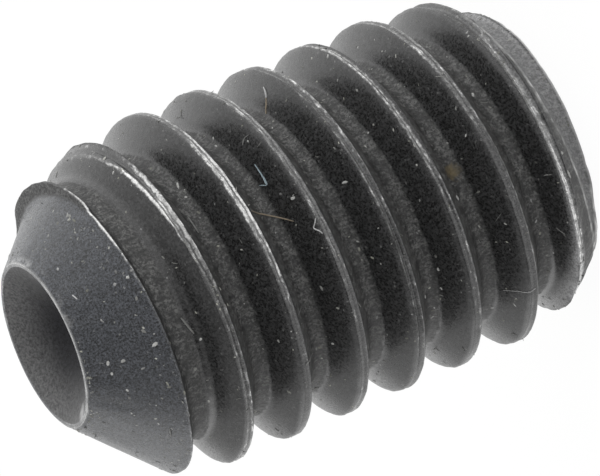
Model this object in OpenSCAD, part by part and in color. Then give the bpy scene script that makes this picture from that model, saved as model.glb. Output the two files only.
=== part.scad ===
// Hexagon socket set screw with a cup point, M4 x 0.7, nominal length 6 mm,
// rolled thread. It stands on its socket end at z = 0 with the cup point up.
// Millimetres and degrees.

/* [Overall] */
// Length from the socket face to the rim of the cup
length = 5.95; // [4.6:0.05:12]

/* [Thread] */
// Diameter over the full crests
major_d = 3.84; // [3.76:0.02:3.98]
// Distance from one crest to the next
pitch = 0.7; // [0.66:0.01:0.74]
// Depth from crest to root
thread_depth = 0.39; // [0.36:0.01:0.43]
// Radius of the rounded root
root_r = 0.13; // [0.08:0.005:0.14]
// Height of the first crest above the socket face, on the +X side
thread_start = 0.43; // [0.36:0.01:0.5]

/* [Cup point] */
// Diameter of the rim of the cup
cup_d = 1.89; // [1.75:0.01:2]
// Width of the flat land on the rim
cup_land = 0.05; // [0.03:0.01:0.1]
// Full angle of the cone inside the cup
cup_angle = 118; // [90:1:130]
// Slope of the point, measured from the axis
point_angle = 44; // [42:0.5:48]

/* [Socket end] */
// Key size, across the flats of the socket
key_size = 2.03; // [1.9:0.01:2.1]
// Depth of the flats of the socket
socket_depth = 2.5; // [1.5:0.1:2.6]
// Diameter of the countersink at the mouth of the socket
mouth_d = 2.5; // [2.45:0.01:2.7]
// Diameter of the flat face round the socket
face_d = 3.04; // [2.9:0.01:3.2]
// Slope of the end chamfer, measured from the axis
end_angle = 37; // [34:1:45]

/* [Hidden] */
$fn = 96;
steel = [0.2, 0.2, 0.215];

crest_r = major_d / 2;
root = crest_r - thread_depth;
rim_r = cup_d / 2;
flank = 30;
// Width of the crest: what the flanks and the root arc leave of the pitch.
crest_w = pitch - 2 * ((thread_depth - root_r / 2) * tan(flank) + root_r * cos(flank));

// How much lower than full a crest stays at each height. The rolled metal fills
// the crests in the middle of the screw and leaves them lower at both ends.
short_at_face = [[0.2, 0.11], [0.6, 0.07], [0.95, 0]];
short_at_point = [[-1.5, 0], [-1.15, 0.06], [-0.82, 0.08], [-0.75, 0.135], [-0.72, 0.18],
    [-0.62, 0.26], [-0.5, 0.33], [-0.3, 0.38], [0, thread_depth]];
function crest_at(z) = max(
    root,
    crest_r - max(lookup(z, short_at_face), lookup(z - length, short_at_point))
);

// How far up the flank behind a low crest of the point has moved: the crest stays
// narrow there, and the root below it is wider.
rear_shift = [[-1.5, 0], [-1.3, 0.03], [-1.1, 0.03], [-0.82, 0.005], [-0.75, 0.04],
    [-0.72, 0.085], [-0.58, 0.135]];
function shift_at(z) = lookup(z - length, rear_shift);

// How far down the flank in front of the first crests of the socket end has moved.
front_shift = [[0.22, 0.05], [0.42, 0]];
function drop_at(z) = lookup(z, front_shift);

// One turn of the section as [height, radius], from the crest at height z to
// the far side of the root above it.
root_steps = [-60, -20, 20, 60];
function section(z) =
    let (
        r = crest_at(z),
        w = crest_w / 2 + (crest_r - max(r, root + root_r / 2)) * tan(flank)
    )
    concat(
        [[z - w + shift_at(z), r], [z + w - drop_at(z), r]],
        [for (a = root_steps)
            let (up = a > 0 ? shift_at(z + pitch) : -drop_at(z))
            [z + pitch / 2 + root_r * sin(a) + up, min(r, root + root_r * (1 - cos(a)))]]
    );

// The thread is one closed skin: a profile at each station round the screw, each
// raised by its share of the pitch. It is longer than the screw at both ends.
stations = 72;
skin_low = thread_start - 3 * pitch;
turns = ceil((length - skin_low) / pitch) + 1;
skin_top = skin_low + (turns + 2) * pitch;
function profile(i) = concat(
    [[skin_low, root]],
    [for (m = [1 : turns]) each section(skin_low + pitch * (i / stations + m))],
    [[skin_top, root]]
);
per_turn = len(root_steps) + 2;
row = turns * per_turn + 2;
last = (stations - 1) * row;
low_mid = stations * row;
top_mid = low_mid + 1;
skin_points = concat(
    [for (i = [0 : stations - 1]) for (p = profile(i)) around(p, 360 * i / stations)],
    [[0, 0, skin_low], [0, 0, skin_top]]
);
skin_faces = concat(
    // walls between neighbouring stations
    [for (i = [0 : stations - 2]) for (k = [0 : row - 2])
        each quad(i * row + k, i * row + k + 1, (i + 1) * row + k, (i + 1) * row + k + 1)],
    // walls across the seam, where the thread has risen by one pitch
    [for (k = [1 : row - per_turn - 3])
        each quad(last + k, last + k + 1, k + per_turn, k + per_turn + 1)],
    // blunt start and end of the thread at the seam
    [for (k = [0 : per_turn]) [last + 1, k + 1, k]],
    [[last, last + 1, 0]],
    [for (k = [row - 2 - per_turn : row - 2]) [last + k, last + k + 1, row - 2]],
    [[last + row - 1, row - 1, row - 2]],
    // discs
    [for (i = [0 : stations - 1]) [low_mid, i * row, ((i + 1) % stations) * row]],
    [for (i = [0 : stations - 1])
        [top_mid, ((i + 1) % stations) * row + row - 1, i * row + row - 1]]
);
function around(p, a) = [p[1] * cos(a), p[1] * sin(a), p[0]];
function quad(a, b, c, d) = [[a, b, c], [c, b, d]];

module thread_skin() {
    polyhedron(points = skin_points, faces = skin_faces, convexity = 12);
}

// The ridge that the thread ends in. It leaves the edge of the point, stands proud
// of the cone and stops bluntly: [angle past +X, crest radius below the full crest].
ridge = [[38, 0.42], [50, 0.31], [60, 0.3], [75, 0.285], [90, 0.293], [105, 0.31],
    [116, 0.325], [122, 0.355]];
ridge_turn = floor((length - thread_start) / pitch);
// How far the ridge lies below the middle of the crest that it continues
ridge_drop = 0.1;
ridge_tip = 0.04;
ridge_base = rim_r + 0.15;
module thread_end() {
    first = ridge[0][0];
    span = ridge[len(ridge) - 1][0] - first;
    steps = 22;
    points = [for (i = [0 : steps])
        let (
            a = first + span * i / steps,
            z = thread_start + pitch * (ridge_turn + a / 360) - ridge_drop,
            r = crest_r - lookup(a, ridge),
            h = r - ridge_base
        )
        each [
            around([z - ridge_tip - h * tan(flank), ridge_base], a),
            around([z - ridge_tip, r], a),
            around([z, r], a),
            around([z + h * 0.08, ridge_base], a)
        ]];
    faces = concat(
        [[3, 2, 1, 0]],
        [for (i = [0 : steps - 1]) for (k = [0 : 3])
            each quad(4 * i + k, 4 * i + (k + 1) % 4, 4 * i + 4 + k, 4 * i + 4 + (k + 1) % 4)],
        [[4 * steps, 4 * steps + 1, 4 * steps + 2, 4 * steps + 3]]
    );
    polyhedron(points = points, faces = faces, convexity = 4);
}

// What is cut away at the cup end: the cup, and all outside the cone of the point.
module cup_end() {
    cup_r = rim_r - cup_land;
    out = crest_r + 1;
    rotate_extrude()
        polygon([
            [0, length - cup_r / tan(cup_angle / 2)],
            [cup_r, length],
            [rim_r, length],
            [out, length - (out - rim_r) / tan(point_angle)],
            [out, skin_top + 1],
            [0, skin_top + 1]
        ]);
}

// What is cut away at the socket end: all below the face, and the chamfer.
module socket_end() {
    out = crest_r + 1;
    rotate_extrude()
        polygon([
            [0, skin_low - 1],
            [out, skin_low - 1],
            [out, (out - face_d / 2) / tan(end_angle)],
            [face_d / 2, 0],
            [0, 0]
        ]);
}

// Hexagon socket with a countersunk mouth and the cone left by the drill.
module hex_socket() {
    drill_r = key_size / 2 - 0.02;
    sink_depth = 0.6;
    translate([0, 0, -1])
        cylinder(h = socket_depth + 1, d = key_size / cos(30), $fn = 6);
    translate([0, 0, socket_depth - 0.01])
        cylinder(h = drill_r * tan(30), r1 = drill_r, r2 = 0.02);
    translate([0, 0, -0.5])
        cylinder(h = 0.5 + sink_depth, r1 = mouth_d / 2 + 0.5, r2 = mouth_d / 2 - sink_depth);
}

module set_screw() {
    color(steel)
        union() {
            difference() {
                thread_skin();
                socket_end();
                cup_end();
                hex_socket();
            }
            thread_end();
        }
}

set_screw();
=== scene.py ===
"""Looks of the M4 set screw: one dense mesh in place of the CAD solid, its black finish, and the studio."""

import math

import bpy
import numpy as np
from mathutils import Matrix, Vector


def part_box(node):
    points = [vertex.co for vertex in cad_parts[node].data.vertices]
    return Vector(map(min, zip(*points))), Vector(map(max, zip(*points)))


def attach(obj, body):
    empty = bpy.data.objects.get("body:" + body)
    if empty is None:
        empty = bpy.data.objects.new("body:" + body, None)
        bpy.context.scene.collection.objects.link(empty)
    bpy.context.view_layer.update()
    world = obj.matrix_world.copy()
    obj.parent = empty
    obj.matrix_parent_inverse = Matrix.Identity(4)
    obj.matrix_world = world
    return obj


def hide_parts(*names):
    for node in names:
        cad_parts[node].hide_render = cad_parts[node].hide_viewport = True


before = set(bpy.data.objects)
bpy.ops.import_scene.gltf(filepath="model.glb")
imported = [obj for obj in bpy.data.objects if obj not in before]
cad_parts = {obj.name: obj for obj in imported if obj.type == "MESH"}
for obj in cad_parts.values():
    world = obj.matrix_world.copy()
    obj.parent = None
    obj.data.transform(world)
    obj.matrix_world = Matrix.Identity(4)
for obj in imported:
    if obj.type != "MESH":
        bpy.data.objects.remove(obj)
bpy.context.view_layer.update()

# ---------------------------------------------------------------- sizes, in millimetres
MM = 0.001
low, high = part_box("set_screw")
LENGTH = (high[2] - low[2]) / MM
CREST_R = (high[0] - low[0]) / MM / 2

# The thread: its pitch, depth and rounded root, the width of its crest, the height of its first
# crest on the +X side, its last full turn, and the turn from which its crest meets the point.
PITCH = 0.7
DEPTH = 0.39
ROOT_ARC = 0.13
FLANK = math.tan(math.radians(30))
ARC_HALF = ROOT_ARC * math.cos(math.radians(30))
ROOT = CREST_R - DEPTH
CREST_HALF = PITCH / 2 - (DEPTH - ROOT_ARC / 2) * FLANK - ARC_HALF
START = 0.43
LAST_TURN = 7
EDGE_TURN = 6.55

# The cup point.
RIM_R = 0.945
LAND = 0.05
CUP_SLOPE = math.tan(math.radians(118 / 2))
POINT_SLOPE = math.tan(math.radians(44))

# The socket end.
FACE_R = 1.52
END_SLOPE = math.tan(math.radians(37))
MOUTH_R = 1.25
KEY_R = 2.03 / 2
SOCKET_DEPTH = 2.5
DRILL_R = KEY_R - 0.02

# Width over which edges are rounded: of the point and the ridge, of the chamfer, and of the crests.
SHARP = 0.01
BLUNT = 0.012
CREST_ROUND = 0.032

# Heights of the small unevenness: a wave all over, the grain behind the crests, dents along the
# crests and along the edge of the point, and lumps on the chamfer, the ridge and the cup's rim.
WAVE = 0.003
GRAIN = 0.0025
DENTS = 0.005
EDGE_DENTS = 0.006
END_LUMPS = 0.014
RIDGE_LUMPS = 0.007
RIM_LUMPS = 0.004

# How much lower than full the crest is: at a height above the face, and below the cup rim.
SHORT_AT_FACE = [(0.2, 0.11), (0.6, 0.07), (0.95, 0.0)]
SHORT_AT_POINT = [
    (-1.5, 0.0), (-1.15, 0.06), (-0.82, 0.08), (-0.75, 0.135), (-0.72, 0.18), (-0.62, 0.26), (-0.5, 0.33),
    (-0.3, 0.38),
]

# How far up the flank behind the crest has moved, by height below the cup rim, and how far down
# the flank in front of it, by height above the face.
REAR_SHIFT = [
    (-1.5, 0.0), (-1.3, 0.03), (-1.1, 0.03), (-0.82, 0.005), (-0.75, 0.04), (-0.72, 0.085), (-0.58, 0.135),
]
FRONT_SHIFT = [(0.22, 0.05), (0.42, 0.0)]

# How far down the flank in front of the last crests has moved, by turns of thread.
LAST_SHIFT = [(5.75, 0.0), (6.0, 0.045), (6.1, 0.035), (6.25, 0.03), (6.5, 0.0)]

# How much lower the front lip of the crest is than the rear lip, by turns of thread.
SLANT = [(5.9, 0.0), (6.0, 0.015), (6.1, 0.05), (6.2, 0.09), (6.5, 0.09), (6.85, 0.03), (7.0, 0.0)]

# The ridge that the thread ends in: degrees past +X, and how much lower than full its edge is.
RIDGE = [
    (38, 0.42), (50, 0.31), (60, 0.30), (75, 0.285), (90, 0.293), (105, 0.31), (114, 0.33),
    (118, 0.39), (122, 0.44),
]
# How far it lies below the middle of the crest that it continues, the width of its edge, and how
# far its back rises while it falls away by 1 mm.
RIDGE_DROP = 0.1
RIDGE_TIP = 0.04
RIDGE_BACK = 0.08

# Depth of the seam that rolling leaves between the two lips of the crest, by turns of thread.
SEAM = [
    (-1.0, 0.05), (0.25, 0.05), (0.6, 0.02), (0.8, 0.008), (1.3, 0.006), (1.75, 0.0), (1.95, 0.006),
    (2.05, 0.022), (2.3, 0.026), (2.75, 0.026), (3.25, 0.026), (3.8, 0.012), (3.95, 0.003), (4.3, 0.0),
    (5.4, 0.0), (5.75, 0.014), (5.95, 0.03), (6.05, 0.05), (6.15, 0.05), (6.3, 0.04), (6.7, 0.04),
    (6.9, 0.0), (8.0, 0.0),
]

# The two lips of the crest, by turns of thread: how far the front and the rear one lie from the middle, how
# bright each is drawn, and how bright the crest is drawn between them. This brightness is partly rubbed bare
# steel and partly painted highlight, raised on every turn at about 15 to 50 degrees past +X, where the light
# from +Y falls.
LIPS = [
    (-0.3, 0.030, -0.015, 0.85, 0.60, 0.95), (0.10, 0.030, -0.015, 0.85, 0.60, 0.95),
    (0.14, 0.030, -0.070, 0.85, 0.60, 0.30), (0.25, 0.030, -0.070, 0.70, 0.50, 0.20),
    (0.35, 0.030, -0.055, 0.50, 0.40, 0.30), (0.75, 0.020, -0.065, 0.25, 0.50, 0.20),
    (0.84, 0.020, -0.065, 0.25, 0.70, 0.20), (1.02, 0.020, -0.060, 0.30, 0.60, 0.20),
    (1.06, 0.030, -0.030, 0.62, 0.60, 0.50), (1.14, 0.030, -0.030, 0.75, 0.65, 0.70),
    (1.25, 0.015, -0.050, 0.35, 0.55, 0.40), (1.80, 0.010, -0.040, 0.28, 0.45, 0.15),
    (1.98, 0.012, -0.040, 0.32, 0.52, 0.15), (2.04, 0.034, -0.002, 0.70, 0.75, 0.40),
    (2.18, 0.034, -0.002, 0.80, 0.70, 0.45), (2.30, 0.030, -0.030, 0.50, 0.50, 0.30),
    (2.75, 0.030, -0.032, 0.40, 0.40, 0.10), (2.97, 0.030, -0.032, 0.50, 0.42, 0.15),
    (3.04, 0.030, -0.032, 0.65, 0.60, 0.45), (3.16, 0.030, -0.032, 0.70, 0.65, 0.50),
    (3.20, 0.030, -0.032, 0.65, 0.60, 0.25), (3.75, 0.020, -0.035, 0.40, 0.45, 0.25),
    (3.92, 0.020, -0.035, 0.40, 0.40, 0.25), (3.99, 0.020, -0.035, 0.45, 0.45, 0.50),
    (4.05, 0.024, -0.036, 0.45, 0.50, 0.60), (4.15, 0.024, -0.036, 0.55, 0.60, 0.95),
    (4.25, 0.020, -0.035, 0.40, 0.45, 0.45),
    (4.75, 0.010, -0.030, 0.22, 0.35, 0.20), (4.93, 0.012, -0.028, 0.25, 0.42, 0.20),
    (4.99, 0.020, -0.030, 0.50, 0.70, 0.55), (5.04, 0.026, -0.032, 0.90, 1.05, 1.05),
    (5.11, 0.026, -0.032, 0.95, 1.10, 1.10), (5.15, 0.016, -0.030, 0.60, 0.70, 0.60),
    (5.25, 0.010, -0.030, 0.35, 0.50, 0.40), (5.75, 0.030, -0.035, 0.50, 0.55, 0.70),
    (5.88, 0.016, -0.035, 0.50, 0.60, 0.55),
    (5.95, 0.004, -0.034, 0.45, 0.55, 0.35), (6.00, 0.010, -0.036, 0.55, 0.65, 0.45),
    (6.04, 0.034, -0.030, 1.25, 1.10, 0.80), (6.065, 0.046, -0.028, 1.90, 1.40, 1.00),
    (6.08, 0.054, -0.026, 2.10, 1.60, 1.40), (6.09, 0.058, -0.026, 1.80, 1.30, 1.00),
    (6.11, 0.066, -0.026, 1.50, 1.00, 0.50), (6.14, 0.076, -0.030, 0.75, 0.65, 0.20),
    (6.18, 0.092, -0.036, 0.55, 0.40, 0.10), (6.24, 0.120, -0.036, 0.40, 0.30, 0.05),
    (6.50, 0.100, -0.080, 0.00, 0.35, 0.10), (6.83, 0.000, -0.080, 0.00, 0.50, 0.00),
    (6.96, 0.000, -0.080, 0.00, 0.35, 0.00), (7.03, 0.000, -0.080, 0.00, 0.60, 0.00),
    (7.06, 0.000, -0.080, 0.00, 0.80, 0.00), (7.09, 0.000, -0.080, 0.00, 1.35, 0.00),
    (7.14, 0.000, -0.080, 0.00, 1.35, 0.00),
    (7.17, 0.000, -0.080, 0.00, 0.70, 0.00), (7.20, 0.000, -0.080, 0.00, 0.00, 0.00),
]

# The view of the photograph, in degrees and millimetres.
VIEW_TILT = 69.195
VIEW_ROLL = 202.547
VIEW_DISTANCE = 96.55
IMAGE_WIDTH = 600
PIXELS_PER_MM = 93.231
VIEW_WIDTH = IMAGE_WIDTH / PIXELS_PER_MM
AIM = Vector((0, 0, 3.0))
AIM_OFFSET = (-0.16752, -0.083888)
SENSOR = 36.0

# The mesh: columns of vertices round the screw, rows to a pitch, the turns that it covers, the
# steps by which the rows are placed, how near an end a row becomes the ring at that end, and the
# angle between faces from which their edge looks sharp.
COLUMNS = 360
ROWS = 26
CELLS = range(-2, 9)
FINE_ROWS = 281
END_GAP = 0.005
SHARP_ANGLE = math.radians(48)
AROUND = np.arange(COLUMNS) / COLUMNS * 2 * np.pi


# ---------------------------------------------------------------- helpers
def smooth_noise(angle, height, around, tall, seed):
    """Smooth noise from -1 to 1, with that many cells round the screw, and cells that tall in mm."""
    below, height_covered = 2.0, 12
    rows = int(height_covered / tall) + 4
    grid = np.random.RandomState(seed).uniform(-1, 1, (rows, around))
    u = (angle / (2 * np.pi)) % 1.0 * around
    v = (height + below) / tall
    i, j = np.floor(v).astype(int), np.floor(u).astype(int)
    fu, fv = u - j, v - i
    fu, fv = fu * fu * (3 - 2 * fu), fv * fv * (3 - 2 * fv)
    i = np.clip(i, 0, rows - 2)
    j0, j1 = j % around, (j + 1) % around
    low_row = grid[i, j0] * (1 - fu) + grid[i, j1] * fu
    high_row = grid[i + 1, j0] * (1 - fu) + grid[i + 1, j1] * fu
    return low_row * (1 - fv) + high_row * fv


def along_thread(turn, per_turn, seed):
    """Smooth noise from -1 to 1 along the thread, with that many cells to a turn."""
    turns_covered, turns_below = 20, 4
    values = np.random.RandomState(seed).uniform(-1, 1, turns_covered * per_turn)
    place = (turn + turns_below) * per_turn
    i = np.floor(place).astype(int)
    f = place - i
    f = f * f * (3 - 2 * f)
    return values[i % len(values)] * (1 - f) + values[(i + 1) % len(values)] * f


def table(x, pairs):
    """The value at x in a table of pairs, in a straight line between them."""
    return np.interp(x, [p[0] for p in pairs], [p[1] for p in pairs])


def soft_min(a, b, width):
    """The smaller of a and b, with the corner between them rounded."""
    h = np.clip(0.5 + 0.5 * (b - a) / width, 0, 1)
    return b * (1 - h) + a * h - width * h * (1 - h)


def soft_max(a, b, width):
    """The larger of a and b, with the corner between them rounded."""
    return -soft_min(-a, -b, width)


def rise(x, start, end):
    """0 before start, 1 after end, and smooth between them."""
    t = np.clip((x - start) / (end - start), 0, 1)
    return t * t * (3 - 2 * t)


# ---------------------------------------------------------------- form of the outside
def angle_at(turn):
    """Angle past +X, in radians."""
    return turn % 1.0 * 2 * np.pi


def height_at(turn, off):
    """Height above the face, off above the middle of the crest at that turn."""
    return START + PITCH * turn + off


def crest_short(turn):
    """How much lower than full the crest is."""
    z = height_at(turn, 0)
    return np.maximum(table(z, SHORT_AT_FACE), table(z - LENGTH, SHORT_AT_POINT))


def crest_half(turn):
    """Half the width of the crest's flat."""
    return CREST_HALF + np.minimum(crest_short(turn), DEPTH - ROOT_ARC / 2) * FLANK


def crest_top(turn, off):
    """Radius of the crest between its lips."""
    front = np.clip(0.5 + 0.5 * off / crest_half(turn), 0, 1)
    return CREST_R - crest_short(turn) - table(turn, SLANT) * front


def thread(turn, off):
    """Radius of the rolled thread, off above the middle of the crest at that turn."""
    z = height_at(turn, 0)
    behind = table(z - LENGTH, REAR_SHIFT)
    ahead = table(z, FRONT_SHIFT) + table(turn, LAST_SHIFT)
    side = np.where(off < 0, behind - off, ahead + off)
    flank = np.minimum(CREST_R - (side - CREST_HALF) / FLANK, CREST_R + 0.05)
    inner = np.clip(PITCH / 2 - side, 0, ARC_HALF)
    arc = ROOT + ROOT_ARC - np.sqrt(ROOT_ARC**2 - inner**2)
    full = np.where(PITCH / 2 - side < ARC_HALF, arc, flank)
    return soft_min(full, crest_top(turn, off), CREST_ROUND)


def seam(turn, off):
    """Depth of the rolling seam in the crest."""
    middle = 0.008 * along_thread(turn, 9, 11)
    width = crest_half(turn) * (0.66 + 0.1 * along_thread(turn, 13, 12))
    hollow = np.clip(1 - ((off - middle) / width) ** 2, 0, 1)
    return table(turn, SEAM) * (1 + 0.3 * along_thread(turn, 17, 13)) * hollow


def cone(z):
    """Radius of the cone of the point."""
    return RIM_R + (LENGTH - z) * POINT_SLOPE


def chamfer(z):
    """Radius of the chamfer of the socket end."""
    return FACE_R + z * END_SLOPE


def ridge(angle, z):
    """Radius of the ridge at the end of the thread, and 0 where there is none."""
    degrees = np.degrees(angle)
    tip = CREST_R - table(degrees, RIDGE)
    off = z - height_at(LAST_TURN + degrees / 360, -RIDGE_DROP)
    above = tip - off / RIDGE_BACK
    below = tip + (off + RIDGE_TIP) / FLANK
    r = soft_min(tip, soft_min(above, below, SHARP), BLUNT)
    return np.where((degrees >= RIDGE[0][0]) & (degrees <= RIDGE[-1][0]), r, 0)


def outside(turn, off):
    """Radius of the outside, off above the middle of the crest at that turn."""
    z = height_at(turn, off)
    r = thread(turn, off) - seam(turn, off)
    r = soft_min(r, cone(z), SHARP)
    r = soft_min(r, chamfer(z), BLUNT)
    return soft_max(r, ridge(angle_at(turn), z), SHARP)


def on_ridge(turn, off):
    """1 on the ridge where it stands proud of the cone, and 0 elsewhere."""
    z = height_at(turn, off)
    return rise(ridge(angle_at(turn), z) - cone(z), 0.0, 0.03)


def on_point(turn, off, r):
    """1 on the cone of the point and 0 on the thread and its ridge."""
    return rise(r - cone(height_at(turn, off)), -0.03, -0.006) * (1 - on_ridge(turn, off))


def on_end(turn, off, r):
    """1 in what the chamfer leaves of the first groove and beside the socket face, and 0 elsewhere."""
    z = height_at(turn, off)
    groove = rise(chamfer(z) - r, 0.006, 0.026) * rise(-z, -0.5, -0.42)
    return np.maximum(groove, rise(-z, -0.05, -0.025))


def end_edge(turn, off):
    """1 where the thread's crest or flank meets the chamfer of the socket end."""
    apart = np.abs(thread(turn, off) - chamfer(height_at(turn, off)))
    return rise(-apart, -0.018, -0.002) * rise(-off, 0.06, 0.09)


def end_lumps(angle, z):
    """Lumps from about -1.5 to 1.5 on the chamfer and on the ridge."""
    return smooth_noise(angle, z, 46, 0.22, 27) + 0.5 * smooth_noise(angle, z, 110, 0.1, 28)


def unevenness(turn, off, r):
    """Small unevenness: granular behind each crest, ragged on it, and nearly none in front of it."""
    angle, z = angle_at(turn), height_at(turn, off)
    behind = rise(-off, crest_half(turn), crest_half(turn) + 0.03)
    behind = np.maximum(behind, rise(off, PITCH / 2 - ARC_HALF, PITCH / 2 - ARC_HALF + 0.02))
    grain = smooth_noise(angle, z, 180, 0.045, 21) + 0.6 * smooth_noise(angle, z, 90, 0.12, 22)
    crest = rise(r, crest_top(turn, off) - 0.03, crest_top(turn, off))
    dents = along_thread(turn, 70, 23) + 0.5 * smooth_noise(angle, z, 170, 0.03, 24)
    wave = WAVE * smooth_noise(angle, z, 9, 0.5, 25)
    edge = EDGE_DENTS * along_thread(turn, 60, 26) * rise(turn, EDGE_TURN, 6.8) * rise(-off, 0.02, 0.06)
    rough = (GRAIN * grain * behind + DENTS * dents * crest) * (1 - on_point(turn, off, r))
    lumps = end_lumps(angle, z)
    by_face = np.maximum(rise(r - chamfer(z), -0.03, -0.006), on_end(turn, off, r) * rise(-z, -0.2, -0.05))
    ends = END_LUMPS * lumps * by_face + RIDGE_LUMPS * lumps * on_ridge(turn, off)
    return wave + rough + ends + edge * rise(-np.abs(r - cone(z)), -0.03, 0)


def edge_of_point(turn):
    """How far from the middle of the crest the thread meets the cone of the point."""
    lowest, highest, tries = -0.24, 0.02, 105
    fine = np.linspace(lowest, highest, tries)
    return fine[np.argmax(outside(turn[:, None], fine[None, :]), axis=1)]


def lips(turn):
    """The marks that the material reads to draw the lips of the crest."""
    columns = list(zip(*LIPS))
    front, rear, front_wear_and_highlight, rear_wear_and_highlight, between = [np.interp(turn, columns[0], c) for c in columns[1:]]
    rear = np.where(turn > EDGE_TURN, edge_of_point(turn), rear)
    front = np.where(turn > EDGE_TURN, rear, front)
    return {
        "front": front,
        "rear": rear,
        "front_wear_and_highlight": front_wear_and_highlight,
        "rear_wear_and_highlight": rear_wear_and_highlight,
        "between": between,
    }


# ---------------------------------------------------------------- one closed mesh
class Skin:
    """Vertices, faces and per-vertex marks of a surface that goes round the Z axis."""

    def __init__(self, marks):
        self.verts = []
        self.faces = []
        self.inner = []
        self.sharp = []
        self.marks = {name: [] for name in marks}

    def points(self, angle, radius, height, **marks):
        """New vertices with their marks, and their numbers."""
        first = len(self.verts)
        flat = np.broadcast_arrays(radius * np.cos(angle), radius * np.sin(angle), height)
        self.verts.extend(np.stack(flat, -1).tolist())
        for name, values in self.marks.items():
            values.extend((np.zeros(len(self.verts) - first) + marks.get(name, 0.0)).tolist())
        return np.arange(first, len(self.verts))

    def ring(self, radius, height, **marks):
        """A level ring of new vertices."""
        return self.points(AROUND, radius + 0 * AROUND, height, **marks)

    def bridge(self, lower, upper):
        """Faces between two rings, which look outwards if upper is above lower."""
        quads = [lower, np.roll(lower, -1), np.roll(upper, -1), upper]
        self.faces.extend(np.stack(quads, -1).tolist())

    def close(self, last, height, up):
        """A fan from the last ring to the axis."""
        middle = self.points(np.zeros(1), np.zeros(1), height)[0]
        sides = (last, np.roll(last, -1)) if up else (np.roll(last, -1), last)
        self.faces.extend([[a, b, middle] for a, b in zip(*sides)])

    def grid(self, left, right):
        """Faces between two columns of vertices, without those that an end has squeezed flat."""
        quads = np.stack([left[:-1], right[:-1], right[1:], left[1:]], -1)
        no_left = quads[:, 0] == quads[:, 3]
        no_right = quads[:, 1] == quads[:, 2]
        self.faces.extend(quads[~no_left & ~no_right].tolist())
        self.faces.extend(quads[no_left & ~no_right][:, :3].tolist())
        self.faces.extend(quads[~no_left & no_right][:, [0, 1, 3]].tolist())

    def sharpen(self, mesh):
        """Keep the edges along the noted ring sharp."""
        ends = np.zeros(2 * len(mesh.edges), dtype=int)
        mesh.edges.foreach_get("vertices", ends)
        noted = np.isin(ends.reshape(-1, 2), self.sharp).all(axis=1)
        layer = mesh.attributes["sharp_edge"].data
        values = np.zeros(len(mesh.edges), dtype=bool)
        layer.foreach_get("value", values)
        layer.foreach_set("value", values | noted)

    def make_object(self, name):
        """The Blender object, in metres, with its marks, and its faces numbered for two materials."""
        mesh = bpy.data.meshes.new(name)
        mesh.from_pydata((np.array(self.verts) * MM).tolist(), [], self.faces)
        mesh.validate()
        mesh.shade_smooth()
        mesh.set_sharp_from_angle(angle=SHARP_ANGLE)
        self.sharpen(mesh)
        inside = np.zeros(len(self.faces), dtype=int)
        inside[slice(*self.inner)] = 1
        mesh.polygons.foreach_set("material_index", inside)
        for mark, values in self.marks.items():
            mesh.attributes.new(mark, "FLOAT", "POINT").data.foreach_set("value", values)
        made = bpy.data.objects.new(name, mesh)
        bpy.context.scene.collection.objects.link(made)
        return made


def place_rows(turn):
    """Offsets of the rows of vertices in one pitch, closer together where the profile bends."""
    fine = np.linspace(-PITCH / 2, PITCH / 2, FINE_ROWS)
    step = fine[1] - fine[0]
    slope = np.gradient(outside(turn[:, None], fine[None, :]), step, axis=1)
    bend = np.abs(np.gradient(np.arctan(slope), step, axis=1))
    kernel = np.hanning(13) / np.hanning(13).sum()
    bend = np.apply_along_axis(lambda row: np.convolve(row, kernel, mode="same"), 1, bend)
    most_bend, bend_share = 60, 0.16
    weight = np.cumsum(np.sqrt(1 + slope**2) + bend_share * np.minimum(bend, most_bend), axis=1)
    weight = (weight - weight[:, :1]) / (weight[:, -1:] - weight[:, :1])
    share = np.arange(ROWS) / ROWS
    return np.array([np.interp(share, row, fine) for row in weight])


def add_outside(skin):
    """The thread, the cone of the point and the chamfer, in rows that follow the thread."""
    turn = (np.array(CELLS)[None, :] + AROUND[:, None] / (2 * np.pi)).ravel()
    off = place_rows(turn)
    marks = {name: np.repeat(values[:, None], ROWS, 1) for name, values in lips(turn).items()}
    turn = np.repeat(turn[:, None], ROWS, 1)
    r = outside(turn, off)
    r = r + unevenness(turn, off, r)
    shape = (COLUMNS, len(CELLS) * ROWS)
    turn, off, r = [values.reshape(shape) for values in (turn, off, r)]
    marks = {name: values.reshape(shape) for name, values in marks.items()}
    z = height_at(turn, off)

    face_r = FACE_R - 0.002 + END_LUMPS * end_lumps(AROUND, 0 * AROUND)
    low_end = skin.ring(face_r, 0.0, end=1)
    skin.sharp = low_end
    rim_r = RIM_R + RIM_LUMPS * smooth_noise(AROUND, 0 * AROUND, 24, 1, 32)
    high_end = skin.ring(rim_r, LENGTH, point=1)
    below, past = z < END_GAP, z > LENGTH - END_GAP
    free = ~below & ~past
    number = np.zeros(shape, dtype=int)
    number[below] = np.broadcast_to(low_end[:, None], shape)[below]
    number[past] = np.broadcast_to(high_end[:, None], shape)[past]
    number[free] = skin.points(
        np.broadcast_to(AROUND[:, None], shape)[free],
        r[free],
        z[free],
        turn=turn[free],
        across_x=np.cos(2 * np.pi * off[free] / PITCH),
        across_y=np.sin(2 * np.pi * off[free] / PITCH),
        point=on_point(turn[free], off[free], r[free]),
        horn=on_ridge(turn[free], off[free]),
        end=on_end(turn[free], off[free], r[free]),
        end_edge=end_edge(turn[free], off[free]),
        **{name: values[free] for name, values in marks.items()},
    )
    for i in range(COLUMNS - 1):
        skin.grid(number[i], number[i + 1])
    skin.grid(number[-1, :-ROWS], number[0, ROWS:])
    return low_end, high_end


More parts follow.
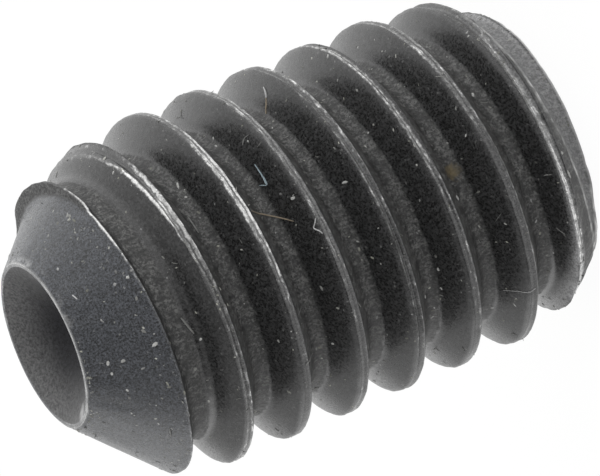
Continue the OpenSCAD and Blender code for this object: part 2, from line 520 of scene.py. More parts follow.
def add_cup(skin, rim):
    """The flat land of the rim and the cone of the cup, whose faces start the second material."""
    edge, bevel = RIM_R - LAND, 0.002
    land = [(RIM_R - 0.008, 0.0), (RIM_R - 0.022, 0.0), (edge + 0.008, 0.0), (edge, bevel)]
    shares = (0.97, 0.9, 0.8, 0.65, 0.5, 0.35, 0.2, 0.08)
    slope = [(edge * f, bevel + edge * (1 - f) / CUP_SLOPE) for f in shares]
    for i, (radius, drop) in enumerate(land + slope):
        inner = skin.ring(radius, LENGTH - drop, point=1, rim=1 if i == 0 else 0)
        if i == len(land):
            skin.inner.append(len(skin.faces))
        skin.bridge(rim, inner)
        rim = inner
    skin.close(rim, LENGTH - edge / CUP_SLOPE, True)
    skin.inner.append(len(skin.faces))


def add_socket(skin, rim):
    """The end face, the countersunk mouth, the hexagon and the cone that the drill left."""
    hexagon = KEY_R / np.cos(AROUND % (np.pi / 3) - np.pi / 6)
    mouth = MOUTH_R - hexagon
    rings = [(FACE_R - 0.035, 0), (MOUTH_R + 0.01, 0), (MOUTH_R, 0)]
    rings += [(MOUTH_R - mouth * f, mouth * f) for f in (0.5, 1.0)]
    rings += [(hexagon, mouth + (SOCKET_DEPTH - mouth) * f) for f in (0.05, 0.3, 0.6, 0.9, 1.0)]
    rings += [(DRILL_R * f, SOCKET_DEPTH + DRILL_R * (1 - f) * FLANK) for f in (1.0, 0.7, 0.4, 0.15)]
    for radius, height in rings:
        inner = skin.ring(radius, height, point=1)
        skin.bridge(inner, rim)
        rim = inner
    skin.close(rim, SOCKET_DEPTH + DRILL_R * FLANK, False)


def build_screw():
    """The whole screw as one closed mesh, with the marks that its material reads."""
    marks = ["turn", "across_x", "across_y", "point", "rim", "horn", "end", "end_edge"]
    skin = Skin(marks + ["front", "rear", "front_wear_and_highlight", "rear_wear_and_highlight", "between"])
    low_end, high_end = add_outside(skin)
    add_cup(skin, high_end)
    add_socket(skin, low_end)
    screw = skin.make_object("set_screw_body")
    print("triangles", sum(len(p.vertices) - 2 for p in screw.data.polygons))
    return screw


# ---------------------------------------------------------------- specks, slivers and fibres
WHITE = (0.8, 0.8, 0.8)
TAN = (0.46, 0.38, 0.28)
GREY = (0.35, 0.35, 0.34)
PALE_BLUE = (0.5, 0.62, 0.68)

# The fibres: tint, half thickness and bends. A bend is where its line of sight from the front
# passes the cylinder of the crests: degrees past +X, and height less the rise of the thread.
FIBRES = [
    (TAN, 0.008, [(14.2, 3.87), (12.8, 3.82), (10.9, 3.734), (8.6, 3.62), (6.0, 3.514)]),
    (PALE_BLUE, 0.009, [(28.2, 3.546), (24.0, 3.548), (20.0, 3.566)]),
    (PALE_BLUE, 0.014, [(23.0, 3.552), (21.5, 3.558), (20.0, 3.566)]),
    (PALE_BLUE, 0.007, [(20.0, 3.566), (20.4, 3.60), (21.0, 3.639)]),
    (GREY, 0.007, [(36.6, 3.514), (38.9, 3.454), (39.6, 3.374)]),
    (TAN, 0.008, [(45.4, 3.042), (47.5, 3.00), (49.5, 2.95), (53.3, 2.874)]),
    (WHITE, 0.011, [(52.3, 2.89), (55.5, 2.83), (58.5, 2.794)]),
    (WHITE, 0.008, [(-1.0, 3.282), (0.2, 3.30), (1.6, 3.354), (2.6, 3.315), (4.3, 3.274)]),
    (WHITE, 0.0065, [(-43.9, 1.498), (-46.8, 1.318), (-48.8, 1.238), (-48.8, 1.11)]),
    (GREY, 0.004, [(-18.8, 1.406), (-17.1, 1.318)]),
    (GREY, 0.012, [(-15.0, 5.03), (-8.9, 5.078)]),
    (WHITE, 0.009, [(16.5, 5.75), (20.2, 5.762)]),
    (GREY, 0.009, [(-62.0, 5.41), (-57.0, 5.42)]),
    (GREY, 0.010, [(14.2, 4.515), (20.0, 4.522)]),
    (GREY, 0.005, [(-29.0, 0.75), (-32.5, 0.67)]),
    (GREY, 0.008, [(-40.5, 3.92), (-38.5, 3.87), (-37.3, 3.82)]),
    (GREY, 0.006, [(-20.5, 3.82), (-22.0, 3.86)]),
]

# The larger specks: degrees and height in the same way, and half size.
SPECKS = [
    (-28.1, 5.782, 0.014), (-22.0, 5.782, 0.016), (-52.6, 5.71, 0.010), (-37.7, 5.702, 0.014),
    (-16.2, 5.354, 0.016), (12.1, 5.302, 0.014), (5.1, 5.03, 0.014), (-17.3, 4.99, 0.014),
    (27.0, 4.41, 0.016), (29.6, 4.37, 0.016), (32.2, 4.40, 0.020), (-17.1, 2.798, 0.012),
    (11.3, 2.79, 0.020), (-6.2, 2.678, 0.011), (13.0, 3.39, 0.014), (-36.9, 3.57, 0.014),
    (-33.4, 2.21, 0.014), (-26.4, 2.19, 0.016), (-7.1, 1.71, 0.020), (-34.2, 2.41, 0.016),
    (-39.5, 2.33, 0.014), (-43.0, 2.37, 0.014), (23.5, 2.25, 0.015), (31.4, 2.31, 0.013),
    (62.0, 1.93, 0.014), (60.3, 1.59, 0.012), (-50.0, 1.63, 0.014), (-52.6, 1.37, 0.014),
    (21.8, 0.99, 0.026), (-15.0, 0.37, 0.022), (-7.1, 0.362, 0.022), (15.6, 0.17, 0.016),
    (34.0, 0.19, 0.014), (60.3, 1.382, 0.014), (10.4, 1.31, 0.012), (44.5, 3.71, 0.014),
    (37.5, 3.43, 0.013), (39.0, 3.10, 0.011), (-12.0, 4.40, 0.010), (47.5, 4.86, 0.012),
]
SPECK_TINT = (0.75, 0.75, 0.7275)
SPECK_SCALE = 1.6
SMALL_SPECKS = 1300
SLIVERS = 150


def radius_at(angle, z):
    """Radius of the outside at an angle and a height."""
    share = angle / (2 * np.pi)
    turn = np.round((z - START) / PITCH - share) + share
    return outside(turn, z - height_at(turn, 0))


def normal_at(place):
    """Direction away from the outside at a place on it."""
    angle, z, step = math.atan2(place[1], place[0]), place[2], 0.01
    below, above = radius_at(np.array([angle, angle]), np.array([z - step, z + step]))
    return Vector((math.cos(angle), math.sin(angle), (below - above) / (2 * step))).normalized()


def shown_at(degrees, lifted):
    """The place on the outside that shows at that angle and height from the front."""
    angle = math.radians(degrees)
    z = lifted + PITCH * degrees / 360
    r = min(CREST_R, cone(z), chamfer(z))
    start = np.array([r * math.cos(angle), r * math.sin(angle), z])
    tilt = math.radians(VIEW_TILT)
    inward = -np.array([math.sin(tilt), 0, math.cos(tilt)])
    deepest, step = 1.0, 0.004
    way = start + np.arange(0, deepest, step)[:, None] * inward
    gap = np.hypot(way[:, 0], way[:, 1]) - radius_at(np.arctan2(way[:, 1], way[:, 0]), way[:, 2])
    return way[np.argmax(gap <= 0)] if (gap <= 0).any() else start


def lifted_out(places, lift):
    """The same places moved out to that far over the surface, where they lie deeper."""
    angle = np.arctan2(places[:, 1], places[:, 0])
    r = np.maximum(np.hypot(places[:, 0], places[:, 1]), radius_at(angle, places[:, 2]) + lift)
    return np.stack([r * np.cos(angle), r * np.sin(angle), places[:, 2]], -1)


class Lint:
    """Vertices, faces and tints of the specks, slivers and fibres, all in one mesh."""

    def __init__(self):
        self.verts = []
        self.faces = []
        self.tints = []

    def add(self, verts, faces, tint):
        """One more closed piece of dirt."""
        first = len(self.verts)
        self.verts.extend(verts)
        self.faces.extend([[first + i for i in face] for face in faces])
        self.tints.extend([(*tint, 1.0)] * len(verts))

    def fibre(self, places, half, tint):
        """A thin four-sided tube along the places, tapered at both ends."""
        ways = np.gradient(places, axis=0)
        verts, faces = [], []
        for i, (place, way) in enumerate(zip(places, ways)):
            out = Vector((place[0], place[1], 0)).normalized()
            side = Vector(way).cross(out).normalized()
            taper = 0.35 + 0.65 * math.sin(math.pi * (i + 0.5) / len(places)) ** 0.5
            for u, v in ((1, 0), (0, 1), (-1, 0), (0, -1)):
                verts.append(tuple(Vector(place) + (side * u + out * v) * half * taper))
        for first in range(0, 4 * len(places) - 4, 4):
            for k in range(4):
                after = (k + 1) % 4
                faces.append([first + k, first + after, first + 4 + after, first + 4 + k])
        faces += [[3, 2, 1, 0], [len(verts) - 4 + k for k in range(4)]]
        self.add(verts, faces, tint)

    def speck(self, place, half, tint, rng):
        """A small uneven crumb that sits on the surface."""
        out = normal_at(place)
        side = out.orthogonal().normalized()
        other = out.cross(side)
        turn = rng.uniform(0, math.pi)
        long, wide = half * rng.uniform(1.0, 1.7), half * rng.uniform(0.55, 1.0)
        verts = []
        for k in range(6):
            a = math.pi * k / 3
            u = long * math.cos(a) * rng.uniform(0.7, 1.2)
            v = wide * math.sin(a) * rng.uniform(0.7, 1.2)
            u, v = u * math.cos(turn) - v * math.sin(turn), u * math.sin(turn) + v * math.cos(turn)
            verts.append(tuple(Vector(place) + side * u + other * v))
        verts.append(tuple(Vector(place) + out * half * 0.3))
        verts.append(tuple(Vector(place) - out * half * 0.5))
        faces = [[k, (k + 1) % 6, 6] for k in range(6)] + [[(k + 1) % 6, k, 7] for k in range(6)]
        self.add(verts, faces, tint)

    def make_object(self, name):
        """The Blender object, in metres, with a tint at each vertex."""
        mesh = bpy.data.meshes.new(name)
        mesh.from_pydata((np.array(self.verts) * MM).tolist(), [], self.faces)
        mesh.validate()
        colours = mesh.attributes.new("tint", "FLOAT_COLOR", "POINT")
        colours.data.foreach_set("color", np.array(self.tints).ravel())
        made = bpy.data.objects.new(name, mesh)
        bpy.context.scene.collection.objects.link(made)
        return made


def named_lint(lint, rng):
    """The fibres and larger specks that the photograph shows."""
    for tint, half, bends in FIBRES:
        share = np.linspace(0, len(bends) - 1, 4 * len(bends))
        knots = [np.interp(share, range(len(bends)), [b[i] for b in bends]) for i in (0, 1)]
        places = np.array([shown_at(*knot) for knot in zip(*knots)])
        for _ in range(3):
            places[1:-1] = (places[:-2] + places[1:-1] + places[2:]) / 3
        lint.fibre(lifted_out(places, half), half, tint)
    for degrees, height, half in SPECKS:
        lint.speck(shown_at(degrees, height), SPECK_SCALE * half, SPECK_TINT, rng)


def random_place(rng):
    """A place on the thread or the point, more often on or in front of a crest than behind it."""
    angle = rng.uniform(0, 2 * math.pi)
    turn = rng.randint(-1, 8) + angle / (2 * math.pi)
    off = rng.normal(0, 0.05) if rng.uniform() < 0.25 else rng.uniform(-0.12, 0.38)
    z = float(np.clip(height_at(turn, off), 0.05, LENGTH - 0.03))
    r = float(radius_at(np.array(angle), np.array(z)))
    return np.array([r * math.cos(angle), r * math.sin(angle), z])


def mostly_low(rng, least, most, power):
    """A random number from least to most, the more often low the higher the power."""
    return least + (most - least) * rng.uniform() ** power


def random_lint(lint, rng):
    """Small specks, smaller towards the crests, and short slivers all round."""
    for _ in range(SMALL_SPECKS):
        bright = mostly_low(rng, 0.24, 0.74, 1.6)
        place = random_place(rng)
        below_crest = CREST_R - math.hypot(place[0], place[1])
        half = mostly_low(rng, 0.009, 0.023, 1.4) * (0.45 + 0.55 * min(below_crest / 0.12, 1.0))
        lint.speck(place, half, (bright, bright, bright * rng.uniform(0.85, 1.0)), rng)
    for _ in range(SLIVERS):
        place = random_place(rng)
        way = rng.normal(0, 1, 3)
        way = way / np.linalg.norm(way) * rng.uniform(0.012, 0.04)
        places = place + np.linspace(-1, 1, 4)[:, None] * way
        bright = mostly_low(rng, 0.25, 0.65, 1.5)
        lint.fibre(lifted_out(places, 0.002), rng.uniform(0.003, 0.006), (bright, bright, bright * 0.95))


def build_lint():
    """All the dirt that lies on the screw, as one object."""
    lint = Lint()
    rng = np.random.RandomState(41)
    named_lint(lint, rng)
    random_lint(lint, rng)
    made = lint.make_object("lint")
    print("lint triangles", sum(len(p.vertices) - 2 for p in made.data.polygons))
    return made


# ---------------------------------------------------------------- materials
BARE_STEEL = (0.84, 0.84, 0.83)
DUST = (0.5, 0.5, 0.49)
RUST = (0.19, 0.145, 0.065)
RUST_AT = (1.53, 0.04, 1.5)

# The oxide, from the darkest to the lightest grain: in front of the crests, behind them, on the
# chamfer of the socket end, on the cone of the point and on the ridge.
OXIDE_FRONT = ((0.008, 0.008, 0.008), (0.068, 0.068, 0.069))
OXIDE_BEHIND = ((0.012, 0.012, 0.012), (0.19, 0.19, 0.185))
OXIDE_END = ((0.17, 0.17, 0.172), (0.41, 0.41, 0.414))
OXIDE_POINT = ((0.0, 0.001, 0.002), (0.115, 0.123, 0.142))
OXIDE_RIDGE = ((0.0, 0.0, 0.0), (0.19, 0.19, 0.188))
# Painted light: a pale colour on the chamfer next to the face, which lightens the shade that the floor casts
# there.
FACE_EDGE_PAINTED_LIGHT = (0.75, 0.75, 0.75)

# The cup, in the same way: at its middle and near its rim, and the light mark near its rim.
CUP_MIDDLE = ((0.003, 0.003, 0.004), (0.032, 0.032, 0.038))
CUP_EDGE = ((0.07, 0.07, 0.071), (0.25, 0.25, 0.25))
CUP_MARK = (0.6, 0.6, 0.6)
CUP_MARK_AT = (0.2, -0.84, 5.9)

SOILED_LINT = (0.12, 0.12, 0.12)

# Index of refraction of the three materials.
OXIDE_IOR = 1.68
CUP_IOR = 1.38
LINT_IOR = 1.4

# In millimetres: the width of the bright line on a lip, the distance between the fine scratches
# on a crest, and the depth of the grain in the bump of the oxide and of the cup.
LIP_WIDTH = 0.022
SCRATCHES = 0.034
OXIDE_BUMP = 0.01
CUP_BUMP = 0.006


class Nodes:
    """Short calls for building one material's nodes."""

    def __init__(self, owner):
        owner.use_nodes = True
        self.tree = owner.node_tree

    def add(self, kind, **settings):
        """A new node of that kind."""
        node = self.tree.nodes.new(kind)
        for key, value in settings.items():
            setattr(node, key, value)
        return node

    def link(self, out, socket):
        self.tree.links.new(out, socket)

    def math(self, operation, *values):
        """A sum on numbers or outputs."""
        node = self.add("ShaderNodeMath", operation=operation)
        for socket, value in zip(node.inputs, values):
            if isinstance(value, (int, float)):
                socket.default_value = value
            else:
                self.link(value, socket)
        return node.outputs[0]

    def mark(self, name):
        """One of the marks that the mesh carries."""
        return self.add("ShaderNodeAttribute", attribute_name=name).outputs["Fac"]

    def ramp(self, value, start, end, low_end=0.0, high_end=1.0):
        """low_end before start, high_end after end, and smooth between them."""
        node = self.add("ShaderNodeMapRange", interpolation_type="SMOOTHSTEP")
        self.link(value, node.inputs["Value"])
        ends = {"From Min": start, "From Max": end, "To Min": low_end, "To Max": high_end}
        for key, number in ends.items():
            node.inputs[key].default_value = number
        return node.outputs["Result"]

    def place(self):
        """Position on the object in millimetres."""
        node = self.add("ShaderNodeVectorMath", operation="MULTIPLY")
        node.inputs[1].default_value = (1 / MM, 1 / MM, 1 / MM)
        self.link(self.add("ShaderNodeTexCoord").outputs["Object"], node.inputs[0])
        return node.outputs[0]

    def split(self, place):
        """The X, Y and Z of a place."""
        node = self.add("ShaderNodeSeparateXYZ")
        self.link(place, node.inputs[0])
        return node.outputs

    def distance(self, place, point):
        """How far a place is from that point, in millimetres."""
        node = self.add("ShaderNodeVectorMath", operation="DISTANCE")
        self.link(place, node.inputs[0])
        node.inputs[1].default_value = point
        return node.outputs["Value"]

    def noise(self, place, scale, detail, rough):
        """Noise round 0.5, with that many cells to a millimetre."""
        node = self.add("ShaderNodeTexNoise")
        self.link(place, node.inputs["Vector"])
        node.inputs["Scale"].default_value = scale
        node.inputs["Detail"].default_value = detail
        node.inputs["Roughness"].default_value = rough
        return node.outputs["Fac"]

    def mix(self, factor, first, second):
        """Mix of two colours or colour outputs."""
        node = self.add("ShaderNodeMix", data_type="RGBA")
        self.link(factor, node.inputs["Factor"])
        for socket, value in ((node.inputs[6], first), (node.inputs[7], second)):
            if isinstance(value, tuple):
                socket.default_value = (*value, 1)
            else:
                self.link(value, socket)
        return node.outputs[2]


def across_crest(n):
    """Distance above the middle of the crest, in millimetres."""
    around = n.math("ARCTAN2", n.mark("across_y"), n.mark("across_x"))
    return n.math("MULTIPLY", around, PITCH / (2 * math.pi))


def along_crest(n, across, length, width):
    """Place in a pattern that runs with the thread, with cells of about that length and width."""
    place = n.add("ShaderNodeCombineXYZ")
    n.link(n.math("MULTIPLY", n.mark("turn"), 2 * math.pi * CREST_R / length), place.inputs["X"])
    n.link(n.math("MULTIPLY", across, 1 / width), place.inputs["Y"])
    return place.outputs[0]


def behind_crest(n, here, across):
    """1 on the flank behind each crest and in the root, and 0 in front of the crest."""
    wobble = n.math("MULTIPLY", n.math("SUBTRACT", n.noise(here, 9, 5, 0.65), 0.5), 0.07)
    across = n.math("ADD", across, wobble)
    back = n.ramp(across, -0.075, -0.04, 1, 0)
    later = n.ramp(n.mark("turn"), 5.7, 5.95, 0, 0.05)
    front = n.ramp(n.math("SUBTRACT", across, later), 0.248, 0.278)
    return n.math("MULTIPLY", n.math("MAXIMUM", back, front), n.math("SUBTRACT", 1.0, n.mark("point")))


def line_of_wear_and_highlight(n, away, wear_and_highlight, blobs, width):
    """A broken line: the higher its wear and painted highlight, the fewer and shorter the gaps between its
    bright pieces.
    """
    pieces = n.ramp(n.math("ADD", blobs, n.math("MULTIPLY", wear_and_highlight, 0.42)), 0.66, 1.0, 0, 1.2)
    faint = n.math("MULTIPLY", n.math("MINIMUM", wear_and_highlight, 1.0), 0.22)
    return n.math("MULTIPLY", n.ramp(away, 0.003, width, 1, 0), n.math("MAXIMUM", pieces, faint))


def lips_wear_and_highlight(n, here, across):
    """1 where the lips and the top of the crest are drawn bright, in broken lines that run with the thread:
    partly rubbed bare steel, partly painted highlight.
    """
    wobble = n.math("MULTIPLY", n.math("SUBTRACT", n.noise(here, 9, 5, 0.7), 0.5), 0.05)
    place = n.math("ADD", across, wobble)
    blobs = n.noise(along_crest(n, across, 0.11, 0.045), 1.0, 4, 0.7)
    front = n.math("ABSOLUTE", n.math("SUBTRACT", place, n.mark("front")))
    rear = n.math("ABSOLUTE", n.math("SUBTRACT", place, n.mark("rear")))
    lines = n.math(
        "MAXIMUM",
        line_of_wear_and_highlight(n, front, n.mark("front_wear_and_highlight"), blobs, LIP_WIDTH),
        line_of_wear_and_highlight(n, rear, n.mark("rear_wear_and_highlight"), blobs, LIP_WIDTH),
    )
    over = n.ramp(n.math("SUBTRACT", place, n.mark("rear")), -0.012, 0.008)
    under = n.ramp(n.math("SUBTRACT", place, n.mark("front")), -0.008, 0.014, 1, 0)
    streaks = n.noise(along_crest(n, place, 0.22, 0.024), 1.0, 5, 0.7)
    streaks = n.math("ADD", streaks, n.math("MULTIPLY", n.mark("between"), 0.3))
    between = n.math("MINIMUM", n.mark("between"), 1.0)
    streaks = n.math("MAXIMUM", n.ramp(streaks, 0.66, 0.94), n.math("MULTIPLY", between, 0.26))
    comb = n.math("SINE", n.math("MULTIPLY", place, 2 * math.pi / SCRATCHES))
    streaks = n.math("MULTIPLY", streaks, n.ramp(comb, -0.4, 0.5, 0.4, 1.2))
    fill = n.math("MULTIPLY", n.math("MULTIPLY", over, under), streaks)
    mottle = n.ramp(n.noise(here, 24, 4, 0.8), 0.32, 0.62, 0.45, 1.2)
    return n.math("MINIMUM", n.math("MULTIPLY", n.math("MAXIMUM", lines, fill), mottle), 1.0)


def worn_rim(n, here):
    """1 where the rim of the cup is rubbed bare: broadly on the front, and hardly at all on the back."""
    at = n.split(here)
    facing = n.ramp(at["X"], -0.75, -0.1, 0.12, 1.0)
    pieces = n.ramp(n.noise(here, 5, 3, 0.6), 0.38, 0.6, 0.5, 1.1)
    edge = n.math("MULTIPLY", n.ramp(at["Z"], LENGTH - 0.018, LENGTH, 0, 0.4), n.mark("point"))
    line = n.math("MULTIPLY", n.math("MAXIMUM", n.mark("rim"), edge), n.math("MULTIPLY", facing, pieces))
    smear = n.math("MULTIPLY", n.ramp(at["Z"], LENGTH - 0.085, LENGTH), n.mark("point"))
    smear = n.math("MULTIPLY", smear, n.ramp(at["Y"], -0.2, 0.3))
    smear = n.math("MULTIPLY", smear, n.ramp(n.noise(here, 6, 4, 0.7), 0.45, 0.62, 0, 0.4))
    return n.math("MINIMUM", n.math("MAXIMUM", line, smear), 1.0)


def worn_end(n, here):
    """1 where the edge round the chamfer of the socket end is rubbed bare, in a broken thin line."""
    pieces = n.ramp(n.noise(here, 7, 4, 0.6), 0.4, 0.62, 0.25, 0.85)
    return n.math("MULTIPLY", n.mark("end_edge"), pieces)


def rust_spot(n, here):
    """1 on the one small rusty spot in a groove, with a ragged outline."""
    ragged = n.math("ADD", n.distance(here, RUST_AT), n.math("MULTIPLY", n.noise(here, 24, 3, 0.6), 0.16))
    return n.ramp(ragged, 0.1, 0.2, 0.75, 0)


def faint_dust(n, here, across):
    """A thin, patchy film of dust, thicker near the crests."""
    faint = n.ramp(n.noise(here, 19, 3, 0.6), 0.63, 0.76, 0, 0.5)
    near = n.ramp(n.math("ABSOLUTE", across), 0.02, 0.16, 1.4, 0.7)
    return n.math("MINIMUM", n.math("MULTIPLY", faint, near), 1.0)


def oxide_colour(n, here, across, grain, behind):
    """Colour of the sound oxide: near black in front of the crests, greyer behind, blue on the point; with a
    painted shade strip under each rear lip and painted light on the chamfer next to the face.
    """
    shade = n.mix(grain, *OXIDE_FRONT)
    patches = n.ramp(n.noise(here, 7, 4, 0.7), 0.35, 0.65, 0.45, 1.2)
    coarse = n.math("MULTIPLY", grain, patches)
    # Painted shade: a darker strip just below the rear lip, where the steep flank under the crest lies in
    # shade.
    below = n.math("SUBTRACT", n.mark("rear"), across)
    painted_shade_strip = n.math("MULTIPLY", n.ramp(below, 0.0, 0.015), n.ramp(below, 0.03, 0.07, 0.85, 0))
    coarse = n.math("MULTIPLY", coarse, n.math("SUBTRACT", 1.0, painted_shade_strip))
    slanted = n.math("ADD", across, n.math("MULTIPLY", n.mark("turn"), 3.0))
    striae = n.noise(along_crest(n, slanted, 0.05, 0.16), 1.0, 3, 0.6)
    coarse = n.math("MULTIPLY", coarse, n.ramp(striae, 0.36, 0.64, 0.45, 1.5))
    shade = n.mix(behind, shade, n.mix(coarse, *OXIDE_BEHIND))
    # Painted light: the chamfer is drawn paler within 0.045 mm of the face, against the floor's contact
    # shade.
    end = n.mix(n.ramp(n.split(here)["Z"], 0.005, 0.045, 0.8, 0), n.mix(grain, *OXIDE_END), FACE_EDGE_PAINTED_LIGHT)
    shade = n.mix(n.mark("end"), shade, end)
    dots = n.ramp(n.noise(here, 46, 2, 0.9), 0.36, 0.64)
    dots = n.math("MULTIPLY", dots, n.ramp(n.noise(here, 15, 4, 0.7), 0.3, 0.7, 0.7, 1.15))
    shade = n.mix(n.mark("point"), shade, n.mix(dots, *OXIDE_POINT))
    return n.mix(n.mark("horn"), shade, n.mix(grain, *OXIDE_RIDGE))


def black_oxide():
    """Black oxide on steel: smooth in front of the crests, granular behind, bare steel on the lips that is
    partly rubbed wear and partly painted highlight.
    """
    material = bpy.data.materials.new("black_oxide")
    n = Nodes(material)
    shader = n.tree.nodes["Principled BSDF"]
    here = n.place()
    across = across_crest(n)
    behind = behind_crest(n, here, across)
    fine = n.noise(here, 34, 3, 0.8)
    mottle = n.noise(here, 15, 5, 0.75)
    grain = n.math("MULTIPLY", n.ramp(fine, 0.37, 0.63), n.ramp(mottle, 0.32, 0.68, 0.3, 1.35))

    shade = oxide_colour(n, here, across, grain, behind)
    # Bare steel where rubbed on the lips, rim and end edge, plus painted highlight on the lips from the lip
    # table.
    bare_and_highlight = n.math("MAXIMUM", lips_wear_and_highlight(n, here, across), worn_rim(n, here))
    bare_and_highlight = n.math("MAXIMUM", bare_and_highlight, worn_end(n, here))
    shade = n.mix(bare_and_highlight, shade, BARE_STEEL)
    film = faint_dust(n, here, across)
    shade = n.mix(film, shade, DUST)
    shade = n.mix(rust_spot(n, here), shade, RUST)
    n.link(shade, shader.inputs["Base Color"])

    gloss = n.math("ADD", n.ramp(fine, 0.32, 0.68, 0.22, 0.36), n.math("MULTIPLY", behind, 0.3))
    gloss = n.math("ADD", gloss, n.math("MULTIPLY", bare_and_highlight, -0.08))
    n.link(n.math("ADD", gloss, n.math("MULTIPLY", film, 0.3)), shader.inputs["Roughness"])
    n.link(n.math("MULTIPLY", bare_and_highlight, 0.9), shader.inputs["Metallic"])
    shader.inputs["IOR"].default_value = OXIDE_IOR

    bump = n.add("ShaderNodeBump")
    bump.inputs["Distance"].default_value = OXIDE_BUMP * MM
    coarse = n.math("MAXIMUM", behind, n.math("MULTIPLY", n.mark("point"), 0.3))
    coarse = n.math("MAXIMUM", coarse, n.mark("horn"))
    n.link(n.math("ADD", 0.16, n.math("MULTIPLY", coarse, 0.84)), bump.inputs["Strength"])
    height = n.math("ADD", n.math("MULTIPLY", fine, 0.7), n.math("MULTIPLY", mottle, 0.9))
    n.link(height, bump.inputs["Height"])
    n.link(bump.outputs["Normal"], shader.inputs["Normal"])
    return material


def cup_oxide():
    """The duller oxide in the cup, darker towards the middle, with one light mark near the rim."""
    material = bpy.data.materials.new("cup_oxide")
    n = Nodes(material)
    shader = n.tree.nodes["Principled BSDF"]
    here = n.place()
    fine = n.ramp(n.noise(here, 32, 4, 0.75), 0.3, 0.7)
    out = n.add("ShaderNodeVectorMath", operation="MULTIPLY")
    n.link(here, out.inputs[0])
    out.inputs[1].default_value = (1, 1, 0)
    away = n.add("ShaderNodeVectorMath", operation="LENGTH")
    n.link(out.outputs[0], away.inputs[0])
    patchy = n.math("ADD", away.outputs["Value"], n.math("MULTIPLY", n.noise(here, 4, 4, 0.6), 0.2))
    shade = n.mix(n.ramp(patchy, 0.4, 1.04), n.mix(fine, *CUP_MIDDLE), n.mix(fine, *CUP_EDGE))
    ragged = n.math("ADD", n.distance(here, CUP_MARK_AT), n.math("MULTIPLY", n.noise(here, 12, 4, 0.7), 0.2))
    shade = n.mix(n.ramp(ragged, 0.14, 0.26, 0.8, 0), shade, CUP_MARK)
    n.link(shade, shader.inputs["Base Color"])
    n.link(n.ramp(fine, 0, 1, 0.45, 0.6), shader.inputs["Roughness"])
    shader.inputs["IOR"].default_value = CUP_IOR
    bump = n.add("ShaderNodeBump")
    bump.inputs["Distance"].default_value = CUP_BUMP * MM
    bump.inputs["Strength"].default_value = 0.5
    n.link(fine, bump.inputs["Height"])
    n.link(bump.outputs["Normal"], shader.inputs["Normal"])
    return material


def dry_lint():
    """Specks, slivers and fibres, each in its own tint, dull and slightly mottled."""
    material = bpy.data.materials.new("dry_lint")
    n = Nodes(material)
    shader = n.tree.nodes["Principled BSDF"]
    tint = n.add("ShaderNodeAttribute", attribute_name="tint").outputs["Color"]
    mottle = n.ramp(n.noise(n.place(), 60, 3, 0.6), 0.3, 0.7, 0.0, 0.35)
    n.link(n.mix(mottle, tint, SOILED_LINT), shader.inputs["Base Color"])
    n.link(n.math("ADD", mottle, 0.6), shader.inputs["Roughness"])
    shader.inputs["IOR"].default_value = LINT_IOR
    return material


# ---------------------------------------------------------------- studio
# The floor: its width in metres, how far it lies under the screw in millimetres, and what seen
# rays find on it, mostly plain white and a little of its own shade.
FLOOR_WIDTH = 1.2
FLOOR_DROP = 0.004
FLOOR_COLOUR = (0.9, 0.9, 0.9, 1)
WHITE_STRENGTH = 1.04
WHITE_SHARE = 0.92

# Soft light all round: a direction, how far towards it the change starts and ends, as a cosine,
# and the strength at both. It is brighter from +Y and from behind, and dimmer in front and above.
LIGHTS = [
    ((0, 1, 0), -0.8, 0.8, 0.12, 1.42),
    ((0.93, 0, 0.36), 0.05, 0.9, 0.0, -0.28),
    ((0.93, 0, 0.36), -0.95, -0.7, 0.5, 0.0),
    ((0, -0.7, 0.7), 0.45, 0.95, 0.0, 0.42),
    ((-0.55, -0.83, 0.1), 0.8, 0.98, 0.0, 1.2),
    ((-0.2, 0.2, 0.96), 0.6, 0.97, 0.0, -0.42),
]
LEAST_LIGHT = 0.08


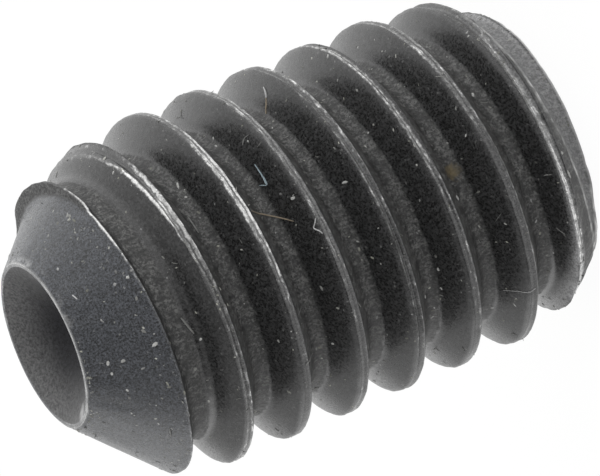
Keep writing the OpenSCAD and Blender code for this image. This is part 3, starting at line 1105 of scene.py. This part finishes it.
def make_floor():
    """A plain white floor that keeps a faint shadow of the screw."""
    bpy.ops.mesh.primitive_plane_add(size=FLOOR_WIDTH, location=(0, 0, -FLOOR_DROP * MM))
    floor = bpy.context.object
    floor.name = "floor"
    material = bpy.data.materials.new("floor_white")
    n = Nodes(material)
    path = n.add("ShaderNodeLightPath").outputs
    seen = n.math("MAXIMUM", path["Is Glossy Ray"], path["Is Transmission Ray"])
    seen = n.math("MAXIMUM", path["Is Camera Ray"], seen)
    diffuse = n.add("ShaderNodeBsdfDiffuse")
    diffuse.inputs["Color"].default_value = FLOOR_COLOUR
    glow = n.add("ShaderNodeEmission")
    glow.inputs["Strength"].default_value = WHITE_STRENGTH
    mix = n.add("ShaderNodeMixShader")
    n.link(n.math("MULTIPLY", seen, WHITE_SHARE), mix.inputs[0])
    n.link(diffuse.outputs[0], mix.inputs[1])
    n.link(glow.outputs[0], mix.inputs[2])
    n.link(mix.outputs[0], n.tree.nodes["Material Output"].inputs[0])
    floor.data.materials.append(material)


def make_world():
    """The sum of the lights, in white."""
    world = bpy.data.worlds.new("studio")
    bpy.context.scene.world = world
    n = Nodes(world)
    where = n.add("ShaderNodeTexCoord").outputs["Generated"]

    total = 0.0
    for direction, start, end, low_end, high_end in LIGHTS:
        towards = n.add("ShaderNodeVectorMath", operation="DOT_PRODUCT")
        towards.inputs[1].default_value = direction
        n.link(where, towards.inputs[0])
        total = n.math("ADD", total, n.ramp(towards.outputs["Value"], start, end, low_end, high_end))
    background = n.tree.nodes["Background"]
    n.link(n.math("MAXIMUM", total, LEAST_LIGHT), background.inputs["Strength"])
    background.inputs["Color"].default_value = (1, 1, 1, 1)


def make_camera():
    """The photograph's camera: on the +X side, above the screw, and rolled."""
    tilt, roll = math.radians(VIEW_TILT), math.radians(VIEW_ROLL)
    back = Vector((math.sin(tilt), 0, math.cos(tilt)))
    along = (Vector((0, 0, 1)) - back * math.cos(tilt)).normalized()
    across = back.cross(along)
    right = along * math.cos(roll) - across * math.sin(roll)
    up = along * math.sin(roll) + across * math.cos(roll)
    place = AIM + back * VIEW_DISTANCE - right * AIM_OFFSET[0] - up * AIM_OFFSET[1]
    data = bpy.data.cameras.new("camera")
    data.sensor_width = SENSOR
    data.lens = VIEW_DISTANCE / VIEW_WIDTH * SENSOR
    data.clip_start = 0.001
    camera = bpy.data.objects.new("camera", data)
    turn = Matrix((right, up, back)).transposed().to_4x4()
    camera.matrix_world = Matrix.Translation(place * MM) @ turn
    bpy.context.scene.collection.objects.link(camera)
    bpy.context.scene.camera = camera


screw = build_screw()
lint = build_lint()
lint.data.materials.append(dry_lint())
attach(lint, "root")
screw.data.materials.append(black_oxide())
screw.data.materials.append(cup_oxide())
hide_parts("set_screw")
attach(screw, "root")

make_floor()
make_world()
make_camera()
bpy.context.scene.view_settings.view_transform = "Standard"
